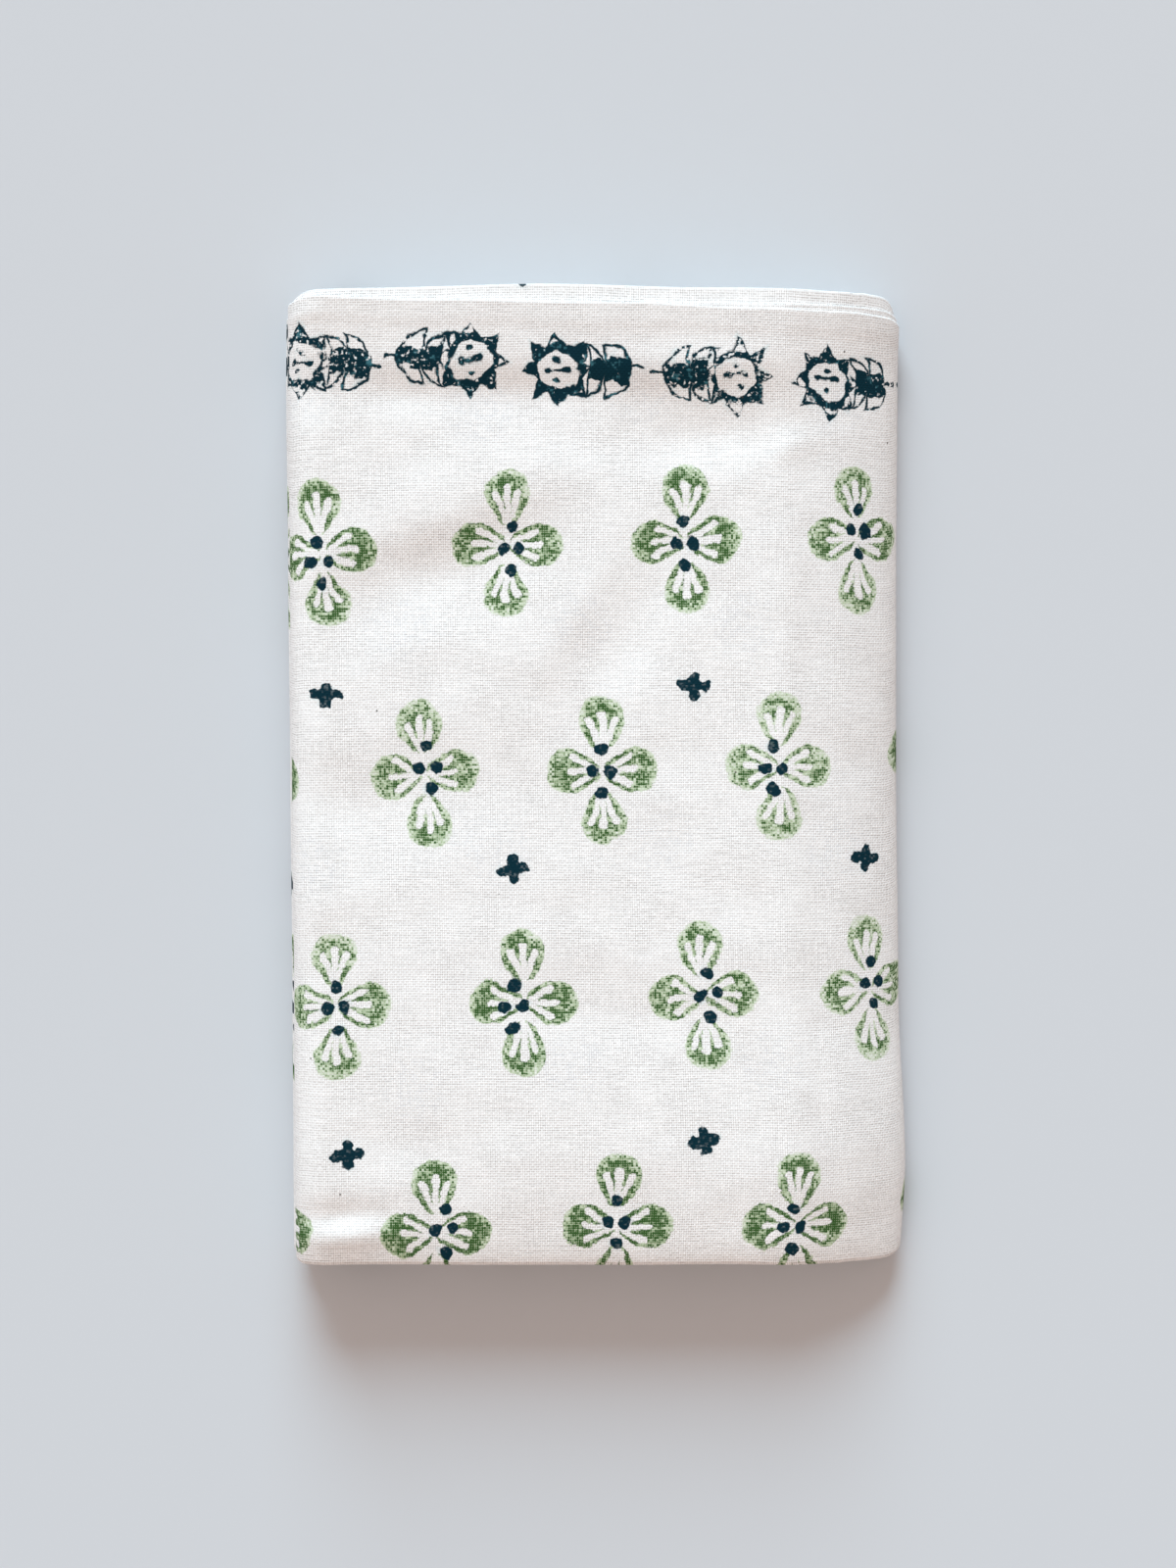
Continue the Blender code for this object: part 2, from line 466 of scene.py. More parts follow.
rows, stations = sectionRows(), crossStations()
reach = [settle(row.x, 0.0, row.z).x for row in rows]
outermost = {"Left": min(reach), "Right": max(reach)}
middleRow = min((k for k, row in enumerate(rows) if row.shown == 1), key=lambda k: abs(rows[k].x))
topWay, midWay = [wayAlong(rows, stations, ply) for ply in (1, 3)]
across = wayAcross(rows[middleRow], stations)
mesh = foldedMesh(rows, stations, topWay, midWay, across)
cloth = addObject("foldedTablecloth", mesh)
cloth.vertex_groups.new(name="hems")
mesh.shade_smooth()
thicken = cloth.modifiers.new("cloth and hem thickness", "SOLIDIFY")
thicken.thickness = shape["hemThickness"] * mm
thicken.offset = 0.0
thicken.vertex_group = "hems"
thicken.thickness_vertex_group = shape["clothThickness"] / shape["hemThickness"]


# A pen that writes shader nodes, so that a formula reads in one line.
class NodePen:
    def __init__(self, tree):
        self.tree = tree

    def feed(self, socket, value):
        if isinstance(value, bpy.types.NodeSocket):
            self.tree.links.new(value, socket)
        else:
            socket.default_value = value

    def node(self, kind, settings, *values, **named):  # its inputs filled in order, or by name
        made = self.tree.nodes.new(kind)
        for name, value in settings.items():
            setattr(made, name, value)
        for socket, value in zip(made.inputs, values):
            self.feed(socket, value)
        for name, value in named.items():
            self.feed(made.inputs[name], value)
        return made.outputs

    def maths(self, operation, *values):
        return self.node("ShaderNodeMath", {"operation": operation}, *values)[0]

    def chain(self, operation, values):
        return reduce(lambda a, b: self.maths(operation, a, b), values)

    def plus(self, *values):
        return self.chain("ADD", values)

    def times(self, *values):
        return self.chain("MULTIPLY", values)

    def least(self, *values):
        return self.chain("MINIMUM", values)

    def most(self, *values):
        return self.chain("MAXIMUM", values)

    def minus(self, a, b):
        return self.maths("SUBTRACT", a, b)

    def size(self, value):
        return self.maths("ABSOLUTE", value)

    def weighed(self, weights, **parts):  # the parts by their weights, and the rest added to them
        total = self.plus(*[self.times(part, weights[name]) for name, part in parts.items()])
        return self.plus(total, weights["rest"]) if "rest" in weights else total

    def span(self, x, y):
        return self.maths("SQRT", self.plus(self.times(x, x), self.times(y, y)))

    def apart(self, x, y, farX, farY):  # distance from a place
        return self.span(self.minus(x, farX), self.minus(y, farY))

    def limit(self, value, low, high):
        return self.node("ShaderNodeClamp", {}, value, low, high)[0]

    def ramp(self, value, low, high, start=0.0, end=1.0, kind="SMOOTHSTEP"):
        settings = {"interpolation_type": kind}
        return self.node("ShaderNodeMapRange", settings, value, low, high, start, end)[0]

    def pick(self, test, no, yes):
        return self.ramp(test, 0.0, 1.0, no, yes, "LINEAR")

    def inside(self, distance, soft=0.22):  # 1 where a distance to an outline is below 0
        return self.ramp(distance, soft, -soft)

    def split(self, vector):
        return self.node("ShaderNodeSeparateXYZ", {}, vector)[:3]

    def join(self, x, y, z=0.0):
        return self.node("ShaderNodeCombineXYZ", {}, x, y, z)[0]

    def moved(self, x, y, byX, byY):
        return self.join(self.minus(x, byX), self.minus(y, byY))

    def scaled(self, vector, factor):
        return self.node("ShaderNodeVectorMath", {"operation": "SCALE"}, vector, Scale=factor)[0]

    def vectors(self, operation, first, second):
        return self.node("ShaderNodeVectorMath", {"operation": operation}, first, second)[0]

    def blend(self, factor, first, second):
        made = self.tree.nodes.new("ShaderNodeMix")
        made.data_type = "RGBA"
        for index, value in zip((0, 6, 7), (factor, first, second)):
            self.feed(made.inputs[index], (*value, 1.0) if isinstance(value, tuple) else value)
        return made.outputs[2]

    def cloud(self, vector, scale, detail=1.0, kind="Fac"):  # soft noise, from 0 to 1
        settings = {"noise_dimensions": "2D"}
        made = self.node("ShaderNodeTexNoise", settings, vector, Scale=scale, Detail=detail)
        return made[kind]

    def stray(self, vector, scale, reach, detail=1.0):  # soft noise on both sides of 0
        return self.times(self.minus(self.cloud(vector, scale, detail), 0.5), reach)

    def dice(self, vector):  # a random colour for each whole number
        return self.node("ShaderNodeTexWhiteNoise", {"noise_dimensions": "3D"}, vector)["Color"]

    def use(self, group, **named):
        return self.node("ShaderNodeGroup", {"node_tree": group}, **named)

    def give(self, **values):  # ends a group with what it hands back
        addSockets(self.tree, "OUTPUT", values)
        result = self.tree.nodes.new("NodeGroupOutput")
        for name, value in values.items():
            self.feed(result.inputs[name], value)
        return self.tree


def addSockets(tree, way, names):
    kinds = {"Place": "NodeSocketVector", "Spot": "NodeSocketVector", "Chance": "NodeSocketColor"}
    for name in names:
        tree.interface.new_socket(name, in_out=way, socket_type=kinds.get(name, "NodeSocketFloat"))


def newGroup(name, *inputs):
    tree = bpy.data.node_groups.new(name, "ShaderNodeTree")
    addSockets(tree, "INPUT", inputs)
    return NodePen(tree), tree.nodes.new("NodeGroupInput").outputs


def newMaterial(name):
    material = bpy.data.materials.new(name)
    material.use_nodes = True
    return material, material.node_tree.nodes["Principled BSDF"]


# The printing blocks are cut as formulas. Distances are in millimetres, and below 0 inside an
# outline.
def blockPlacesGroup():  # repeats a block by hand: rows, every other one shifted, none quite true
    inputs = ("Place", "Across", "Along", "Shift", "Wander", "Turn", "Seed")
    pen, given = newGroup("blockPlaces", *inputs)
    x, y, _ = pen.split(given["Place"])
    row = pen.maths("ROUND", pen.maths("DIVIDE", y, given["Along"]))
    odd = pen.maths("FLOORED_MODULO", row, 2.0)
    shifted = pen.minus(x, pen.times(odd, given["Shift"]))
    column = pen.maths("ROUND", pen.maths("DIVIDE", shifted, given["Across"]))
    number = pen.join(column, row, given["Seed"])
    lean, turn = pen.split(pen.dice(number))[:2], pen.split(pen.dice(number))[2]
    wander = [pen.times(pen.minus(c, 0.5), 2.0, given["Wander"]) for c in lean]
    localX = pen.minus(pen.minus(shifted, pen.times(column, given["Across"])), wander[0])
    localY = pen.minus(pen.minus(y, pen.times(row, given["Along"])), wander[1])
    angle = pen.times(pen.minus(turn, 0.5), 2.0, given["Turn"])
    settings = {"rotation_type": "Z_AXIS"}
    spot = pen.node("ShaderNodeVectorRotate", settings, pen.join(localX, localY), Angle=angle)[0]
    chance = pen.dice(pen.join(row, column, pen.plus(given["Seed"], 7.0)))
    return pen.give(Spot=spot, Chance=chance, Column=column, Row=row)


petalCut = {"baseRadius": 4.8, "baseAt": 3.3, "tipRadius": 8.7, "tipAt": 10.4}
petalVeins = {  # from x, y to x, y, and how wide on each side at its start and its end
    "upright": ((0.0, -1.6, 0.0, 12.0, 1.0, 1.5), (0.8, 0.0, 4.5, 10.0, 0.95, 1.3)),
    "sideways": ((0.0, -1.6, 0.0, 10.2, 1.0, 1.25), (1.0, 0.4, 5.4, 8.8, 0.95, 1.3)),
}


def strokeDistance(pen, x, y, stroke):
    startX, startY, endX, endY, radius = stroke[:5]
    grow = stroke[5] - radius if len(stroke) > 5 else 0.0
    dx, dy = endX - startX, endY - startY
    square = dx * dx + dy * dy
    fromX, fromY = pen.minus(x, startX), pen.minus(y, startY)
    along = pen.plus(pen.times(fromX, dx / square), pen.times(fromY, dy / square))
    share = pen.limit(along, 0.0, 1.0)
    away = pen.apart(fromX, fromY, pen.times(share, dx), pen.times(share, dy))
    return pen.minus(away, pen.plus(pen.times(share, grow), radius))


def petalGroup(way):  # x across the petal and y out from its base: a teardrop with three bare veins
    pen, given = newGroup(way + "Petal", "Spot")
    x, y, _ = pen.split(given["Spot"])
    half = pen.size(x)
    cut = petalCut
    tall = cut["tipAt"] - cut["baseAt"]
    grow = cut["tipRadius"] - cut["baseRadius"]
    tilt = grow / math.sqrt(tall * tall - grow * grow)
    height = pen.minus(y, cut["baseAt"])
    share = pen.limit(pen.times(pen.plus(height, pen.times(half, tilt)), 1.0 / tall), 0.0, 1.0)
    radius = pen.plus(pen.times(share, grow), cut["baseRadius"])
    outline = pen.minus(pen.apart(half, height, 0.0, pen.times(share, tall)), radius)
    veins = pen.least(*[strokeDistance(pen, half, y, vein) for vein in petalVeins[way]])
    return pen.give(Outline=outline, Printed=pen.most(outline, pen.times(veins, -1.0)))


flowerCut = {
    "petalBase": (9.0, 2.2),  # how far the upright and the side petals' bases lie from the middle
    "sidePetalSize": 0.98,
    "dotRadius": 2.4,
    "dotsAt": ((3.2, 0.0), (0.0, 8.2)),
    "dotsBelow": 1.0,
    "dotSlip": 4.2,  # the dots are a second block, and seldom land true
}


def flowerGroup():
    pen, given = newGroup("flower", "Spot", "Chance")
    x, y, _ = pen.split(given["Spot"])
    upright, sideways = flowerCut["petalBase"]
    up = pen.use(petalGroup("upright"), Spot=pen.join(x, pen.minus(pen.size(y), upright)))
    size = 1.0 / flowerCut["sidePetalSize"]
    outward = pen.times(pen.minus(pen.size(x), sideways), size)
    side = pen.use(petalGroup("sideways"), Spot=pen.join(pen.times(y, size), outward))
    slipX, slipY, _ = pen.split(given["Chance"])
    slip = [pen.times(pen.minus(c, 0.5), 2.0 * flowerCut["dotSlip"]) for c in (slipX, slipY)]
    dotX = pen.size(pen.minus(x, slip[0]))
    dotY = pen.size(pen.minus(y, pen.minus(slip[1], flowerCut["dotsBelow"])))
    dots = pen.least(*[pen.apart(dotX, dotY, *at) for at in flowerCut["dotsAt"]])
    return pen.give(
        Printed=pen.least(up["Printed"], side["Printed"]),
        Outline=pen.least(up["Outline"], side["Outline"]),
        Dots=pen.minus(dots, flowerCut["dotRadius"]),
    )


crossCut = {"arms": (3.6, 4.4), "radius": 1.9, "taper": 0.45, "middle": 3.2}


def crossGroup():  # a round middle with four arms, which taper a little outwards
    pen, given = newGroup("littleCross", "Spot")
    x, y, _ = pen.split(given["Spot"])
    halfX, halfY = pen.size(x), pen.size(y)
    armX, armY = crossCut["arms"]
    across = strokeDistance(pen, halfX, halfY, (0.0, 0.0, armX, 0.0, 0.0))
    along = strokeDistance(pen, halfX, halfY, (0.0, 0.0, 0.0, armY, 0.0))
    taper = pen.ramp(pen.span(x, y), 0.0, armY, crossCut["taper"], 0.0, "LINEAR")
    arms = pen.minus(pen.minus(pen.least(across, along), crossCut["radius"]), taper)
    return pen.give(Printed=pen.least(arms, pen.minus(pen.span(x, y), crossCut["middle"])))


borderCut = {
    "starAt": 7.3,  # from the stamp's middle
    "points": 8,
    "pointTip": 14.6,
    "tipSlip": 0.7,
    "pointSlope": (0.55, 0.835),
    "bareRadius": (7.9, 6.9),  # of the star's bare middle, across and along
    "ringTo": 10.1,
    "lineWidth": 1.1,
    "floods": (0.6, 0.9, 3.5),  # a point is solid when its chance is between these, and how far
    "middleFloods": 0.6,
    "stamens": (
        (-4.0, 0.2, -2.6, -0.1, 1.15),
        (-2.4, 0.0, 2.4, 0.1, 0.55),
        (2.6, 0.4, 3.6, 0.1, 1.05),
        (-0.4, 3.5, 0.2, 3.7, 1.05),
        (0.3, -3.9, 0.9, -4.2, 0.9),
    ),
    "moons": ((-17.4, 10.3, 7.6, 26.0), (-8.8, 10.2, 8.6, 20.4)),  # x and radius out, and in
    "moonFill": 4.4,
    "dash": (-31.8, -0.2, -26.0, 0.1, 0.75),
}


def moonDistance(pen, x, y, moon, flood):  # a crescent, filled at its middle and bare in its horns
    outX, outRadius, inX, inRadius = moon
    outer = pen.minus(pen.apart(x, y, outX, 0.0), outRadius)
    inner = pen.minus(inRadius, pen.apart(x, y, inX, 0.0))
    crescent = pen.most(outer, inner)
    horn = pen.minus(pen.plus(flood, borderCut["moonFill"]), pen.size(y))
    bare = pen.most(pen.plus(crescent, borderCut["lineWidth"]), horn)
    return pen.most(crescent, pen.times(bare, -1.0))


def borderGroup():  # a star with a bare middle, and two moons on its left
    pen, given = newGroup("borderStar", "Spot", "Flood", "Number")
    x, y, _ = pen.split(given["Spot"])
    x = pen.minus(x, borderCut["starAt"])
    far = pen.span(x, y)
    angle = pen.maths("ARCTAN2", y, x)
    pointWidth = 2 * math.pi / borderCut["points"]
    folded = pen.maths("PINGPONG", pen.plus(angle, math.pi), pointWidth / 2)
    point = pen.maths("ROUND", pen.times(angle, 1 / pointWidth))
    point = pen.maths("FLOORED_MODULO", point, borderCut["points"])
    chance = pen.split(pen.dice(pen.join(point, given["Number"], 5.0)))
    slopeX, slopeY = borderCut["pointSlope"]
    slip = borderCut["tipSlip"]
    tip = pen.plus(pen.times(chance[1], 2 * slip), borderCut["pointTip"] - slip)
    pointX = pen.minus(pen.times(far, pen.maths("COSINE", folded)), tip)
    pointY = pen.times(far, pen.maths("SINE", folded))
    star = pen.plus(pen.times(pointX, slopeX), pen.times(pointY, slopeY))
    bareX, bareY = borderCut["bareRadius"]
    middle = pen.minus(pen.span(pen.times(x, 1 / bareX), pen.times(y, 1 / bareY)), 1.0)
    middle = pen.plus(pen.times(middle, bareY), pen.times(given["Flood"], borderCut["middleFloods"]))
    floodsFrom, floodsTo, reach = borderCut["floods"]
    flooded = pen.ramp(chance[0], floodsFrom, floodsTo, 0.0, reach)
    inPoint = pen.plus(star, borderCut["lineWidth"], given["Flood"], flooded)
    ring = pen.minus(pen.plus(given["Flood"], borderCut["ringTo"]), far)
    inPoint = pen.most(inPoint, ring)
    printed = pen.most(star, pen.times(middle, -1.0), pen.times(inPoint, -1.0))
    stamens = [strokeDistance(pen, x, y, stroke) for stroke in borderCut["stamens"]]
    moons = [moonDistance(pen, x, y, moon, given["Flood"]) for moon in borderCut["moons"]]
    dash = strokeDistance(pen, x, y, borderCut["dash"])
    return pen.give(Printed=pen.least(printed, *stamens, *moons, dash))


weaveLook = {
    "warpPitch": 0.86,
    "weftPitch": 0.92,
    "waver": (0.06, 0.5),  # how the threads wander: waves to a millimetre, and how far
    "warpTone": (1.1, 0.11),  # thick and thin places of the threads, across and along
    "weftTone": (0.10, 1.05),
    "dash": (0.55, 1.1),
    "weftGap": (0.75, 0.1),
    "warpGap": (0.65, 0.1),
    "opens": (0.35, 0.65),
    "leastHole": 0.3,
    "roundness": 0.5,
    "crossing": 0.25,
    "gap": {"lines": 0.6, "holes": 1.0, "uprights": 0.5},
    "grain": {"knot": 0.30, "weft": 0.30, "warp": 0.10, "dash": 0.30},
}


def stretchedCloud(pen, x, y, stretch, detail):
    return pen.cloud(pen.join(pen.times(x, stretch[0]), pen.times(y, stretch[1])), 1.0, detail)


def weaveGroup():  # a plain weave with uneven threads. Place is in millimetres
    pen, given = newGroup("plainWeave", "Place")
    x, y, _ = pen.split(given["Place"])
    wander = pen.stray(given["Place"], *weaveLook["waver"])
    x, y = pen.plus(x, wander), pen.plus(y, wander)
    warpNumber = pen.times(x, 1 / weaveLook["warpPitch"])
    weftNumber = pen.times(y, 1 / weaveLook["weftPitch"])
    warp = pen.maths("SINE", pen.times(warpNumber, math.pi))
    weft = pen.maths("SINE", pen.times(weftNumber, math.pi))
    warpRise, weftRise = pen.size(warp), pen.size(weft)
    over = pen.times(warp, weft)
    warpTone = stretchedCloud(pen, x, y, weaveLook["warpTone"], 2.0)
    weftTone = stretchedCloud(pen, x, y, weaveLook["weftTone"], 2.0)
    dash = stretchedCloud(pen, x, y, weaveLook["dash"], 1.0)
    knot = pen.join(pen.maths("FLOOR", warpNumber), pen.maths("FLOOR", weftNumber))
    knotTone = pen.split(pen.dice(knot))[0]
    uneven = pen.times(pen.plus(warpTone, weftTone), 0.5)
    rounded = pen.times(pen.plus(warpRise, weftRise), 0.5, weaveLook["roundness"])
    height = pen.plus(rounded, pen.times(over, weaveLook["crossing"]), uneven)
    weftGap = pen.ramp(weftRise, *weaveLook["weftGap"])
    warpGap = pen.ramp(warpRise, *weaveLook["warpGap"])
    gaps = {
        "lines": pen.times(weftGap, pen.ramp(dash, *weaveLook["opens"])),
        "holes": pen.times(weftGap, warpGap, pen.plus(knotTone, weaveLook["leastHole"])),
        "uprights": pen.times(warpGap, pen.ramp(warpTone, *weaveLook["opens"])),
    }
    gap = pen.weighed(weaveLook["gap"], **gaps)
    grain = pen.weighed(weaveLook["grain"], knot=knotTone, weft=weftTone, warp=warpTone, dash=dash)
    return pen.give(Height=height, Gap=gap, Thread=uneven, Grain=grain)


# How each print repeats over the flat cloth, in millimetres: its steps across and along, how far
# every other row is shifted, and how far each stamp may stray and turn.
flowerRepeat = {"Across": 68.3, "Along": 86.6, "Shift": 34.15, "Wander": 1.5, "Turn": 0.075, "Seed": 3}
crossRepeat = {"Across": 173.2, "Along": 68.3, "Shift": -69, "Wander": 1.6, "Turn": 0.16, "Seed": 11}
borderRepeat = {"Across": 50.2, "Along": 10000, "Shift": 0, "Wander": 2.4, "Turn": 0.05, "Seed": 23}
ghostRepeat = flowerRepeat | {"Wander": 6, "Turn": 0.3, "Seed": 31}
speckRepeat = {"Across": 47, "Along": 39, "Shift": 21, "Wander": 15, "Turn": 0, "Seed": 41}

layout = {
    "flowerAt": (1.9, 2.0),  # one flower's middle, from the middle of the top ply
    "flowerRows": (-14, 1),
    "crossAt": (36.0, 33.5),
    "crossBetween": (-1235.0, 100.0),
    "bare": 62.0,  # no flower's or cross's middle lies closer than this to a side edge
    "rowWave": 8.3,  # rows and columns wander across the cloth in one long wave each
    "columnWave": 6.2,
    "columnDrift": (-130.0, -520.0, 0.0, 20.0),  # from where to where, and how far
    "borderAt": (-5.0, 154.8),
    "borderWave": 8.7,
    "borderIn": 24.0,  # from the other edges
    "borderHalf": 21.0,
    "ghostAt": (25.9, -29.0),
}

# How the blocks were pressed. A pair is a noise: its scale to a millimetre, and its reach.
pressLook = {
    "smudge": (0.45, 1.3),  # ink that crept a little
    "bend": (0.09, 5.0),  # blocks that landed askew on cloth that gave
    "flowerBend": 0.6,  # how much of that the flowers and crosses take
    "crossBend": 0.5,
    "ragged": (0.35, 2.2),  # the rough edge of a cross
    "dotRagged": 0.5,
    "petalRagged": 1.8,
    "blotch": 0.22,  # how much colour the block left, over about 5 mm
    "patch": 0.05,
    "dabs": 0.55,
}

greenLook = {
    "dark": (0.042, 0.108, 0.028),
    "light": (0.50, 0.63, 0.40),
    "rim": (-4.2, 0.6),  # where a petal's paler rim starts and ends
    "rimFrom": (9.0, 22.0),  # and how far from the flower's middle
    "dense": {"blotch": 0.9, "grain": 2.0, "rim": -0.45, "force": 0.25, "gap": -0.5, "rest": -0.78},
    "darkens": (0.28, 0.88),
    "covers": (-0.08, 0.62, 0.34, 1.0),
    "edge": 0.3,
}

tealLook = {
    "thick": (0.003, 0.026, 0.040),
    "thin": (0.05, 0.17, 0.21),
    "halo": (0.60, 0.74, 0.76),
    "threads": (0.25, 0.45, 0.88, 1.0),  # how the grain shows in dots and crosses
    "edge": 0.25,
    "wet": {"dabs": 1.5, "grain": 1.1, "patch": 0.5, "pressed": 0.45, "rest": -1.40},
    "stamps": (-0.12, 0.14),
    "stampEdge": 0.3,
    "thinness": {"blotch": 1.2, "grain": 1.0},
    "thickens": (0.72, 1.0),
    "haloWidth": 1.6,
    "haloBlotch": (0.45, 0.75),
    "haloShare": 0.5,
    "flood": {"blotch": 4.6, "pressed": 1.0, "rest": -2.65},  # how far the solid parts spread
}

cottonLook = {
    "colour": (0.905, 0.902, 0.902),
    # gap: painted shade, the dark colour that the gaps between threads are darkened to
    "gap": (0.36, 0.34, 0.33),
    "shadeThrough": (0.52, 0.54, 0.58),
    # how much of the gaps get that painted shade, following the patch noise
    "gapShade": (0.3, 0.7, 0.55, 1.0),
    "tone": {"thread": 0.48, "patch": 0.03, "rest": 0.757},
    "ghostRadius": (17.0, 8.0),  # a mark on the ply below, as it shows through
    "ghostScale": 0.30,
    "ghostNoise": (0.42, 0.62),
    "ghostShare": 0.8,
    "speck": (0.06, 0.05, 0.04),
    "speckSize": (0.9, 0.45),  # the chance's share in it, less what leaves half of them out
    "speckEdge": 0.15,
    "speckShare": 0.8,
    "roughness": (0.93, 0.78),  # bare, and printed
    "specular": 0.05,
    "threadDepth": 0.16,  # millimetres
    "threadStrength": 0.65,
}


def within(pen, value, low, high):
    return pen.times(pen.maths("GREATER_THAN", value, low), pen.maths("LESS_THAN", value, high))


def nearer(pen, a, b):  # the one of two distances that is closer to 0
    return pen.pick(pen.maths("LESS_THAN", pen.size(a), pen.size(b)), b, a)


# The flat cloth in millimetres, x and y from the middle of the top ply, and what all the prints
# share on it: the smudged place, the bends, the rows and columns, and the cloth's own unevenness.
def layFlat(pen, alongEnds, acrossEnds):
    flat = pen.scaled(pen.node("ShaderNodeUVMap", {"uv_map": "flatCloth"})[0], -1.0 / mm)
    scale, reach = pressLook["smudge"]
    smudge = pen.vectors("SUBTRACT", pen.cloud(flat, scale, 2.0, "Color"), (0.5, 0.5, 0.5))
    smudge = pen.scaled(smudge, reach)
    x, y, _ = pen.split(pen.vectors("ADD", flat, smudge))

    long, wide = alongEnds[1] - alongEnds[0], acrossEnds[1] - acrossEnds[0]
    waveX = pen.maths("SINE", pen.times(x, 2 * math.pi / long))
    waveY = pen.maths("SINE", pen.times(y, 2 * math.pi / wide))
    columnX = pen.plus(x, pen.times(waveY, layout["columnWave"]))
    return SimpleNamespace(
        flat=flat, x=x, y=y, waveX=waveX,
        left=-alongEnds[1], right=-alongEnds[0], near=-acrossEnds[1],
        columnX=pen.minus(columnX, pen.ramp(x, *layout["columnDrift"])),
        rowY=pen.minus(y, pen.times(waveX, layout["rowWave"])),
        bendX=pen.stray(flat, *pressLook["bend"]),
        bendY=pen.stray(pen.join(y, x), *pressLook["bend"]),
        threads=pen.use(weaveGroup(), Place=flat),
        blotch=pen.cloud(flat, pressLook["blotch"], 2.0),
        patch=pen.cloud(flat, pressLook["patch"]),
    )


def insideSides(pen, cloth, middle):
    return within(pen, middle, cloth.left + layout["bare"], cloth.right - layout["bare"])


def printedFlowers(pen, cloth, places):
    at = layout["flowerAt"]
    stamp = pen.use(places, Place=pen.moved(cloth.columnX, cloth.rowY, *at), **flowerRepeat)
    x, y, _ = pen.split(stamp["Spot"])
    share = pressLook["flowerBend"]
    bent = pen.join(pen.plus(x, pen.times(cloth.bendX, share)), pen.plus(y, pen.times(cloth.bendY, share)))
    drawn = pen.use(flowerGroup(), Spot=bent, Chance=stamp["Chance"])
    rowLow, rowHigh = layout["flowerRows"]
    inRows = within(pen, stamp["Row"], rowLow - 0.5, rowHigh + 0.5)
    middle = pen.plus(pen.times(stamp["Column"], flowerRepeat["Across"]), at[0])
    return SimpleNamespace(
        printed=drawn["Printed"],
        outline=drawn["Outline"],
        dots=drawn["Dots"],
        fromMiddle=pen.span(x, y),
        force=pen.split(stamp["Chance"])[2],
        there=pen.times(inRows, insideSides(pen, cloth, middle)),
    )


def printedCrosses(pen, cloth, places):  # their repeat runs the cloth's other way
    atX, atY = layout["crossAt"]
    stamp = pen.use(places, Place=pen.moved(cloth.rowY, cloth.columnX, atY, atX), **crossRepeat)
    x, y, _ = pen.split(stamp["Spot"])
    share = pressLook["crossBend"]
    bent = pen.join(pen.plus(x, pen.times(cloth.bendY, share)), pen.plus(y, pen.times(cloth.bendX, share)))
    middle = pen.plus(pen.times(stamp["Row"], crossRepeat["Along"]), atX)
    inReach = within(pen, cloth.rowY, *layout["crossBetween"])
    there = pen.times(inReach, insideSides(pen, cloth, middle))
    return SimpleNamespace(printed=pen.use(crossGroup(), Spot=bent)["Printed"], there=there)


def printedBorder(pen, cloth, places):  # along all four edges, every other stamp the other way round
    borderX, borderY = layout["borderAt"]
    inset = layout["borderIn"]
    fromTop = pen.plus(pen.minus(cloth.y, borderY), pen.times(cloth.waveX, layout["borderWave"]))
    longSide = nearer(pen, fromTop, pen.plus(cloth.y, -cloth.near - inset))
    shortSide = nearer(pen, pen.plus(cloth.x, -cloth.left - inset), pen.plus(cloth.x, -cloth.right + inset))
    onLong = pen.maths("LESS_THAN", pen.size(longSide), layout["borderHalf"])
    along = pen.pick(onLong, cloth.y, pen.minus(cloth.x, borderX))
    place = pen.join(along, pen.pick(onLong, shortSide, longSide))
    stamp = pen.use(places, Place=place, **borderRepeat)
    x, y, _ = pen.split(stamp["Spot"])
    mirror = pen.minus(pen.times(pen.maths("FLOORED_MODULO", stamp["Column"], 2.0), 2.0), 1.0)
    bent = pen.join(pen.plus(pen.times(x, mirror), cloth.bendX), pen.plus(y, cloth.bendY))
    pressed = pen.split(stamp["Chance"])[0]
    flood = pen.weighed(tealLook["flood"], blotch=cloth.blotch, pressed=pressed)
    drawn = pen.use(borderGroup(), Spot=bent, Flood=flood, Number=stamp["Column"])
    return SimpleNamespace(printed=drawn["Printed"], pressed=pressed)


def greenInk(pen, cloth, flowers):  # where there is green, and which: bare threads show through it
    grain, gap = cloth.threads["Grain"], cloth.threads["Gap"]
    rim = pen.ramp(flowers.outline, *greenLook["rim"])
    rim = pen.times(rim, pen.ramp(flowers.fromMiddle, *greenLook["rimFrom"]))
    parts = {"blotch": cloth.blotch, "grain": grain, "rim": rim, "force": flowers.force, "gap": gap}
    dense = pen.weighed(greenLook["dense"], **parts)
    colour = pen.blend(pen.ramp(dense, *greenLook["darkens"]), greenLook["light"], greenLook["dark"])
    petals = pen.plus(flowers.printed, pen.times(pen.minus(grain, 0.5), pressLook["petalRagged"]))
    covered = pen.ramp(dense, *greenLook["covers"])
    return pen.times(pen.inside(petals, greenLook["edge"]), flowers.there, covered), colour


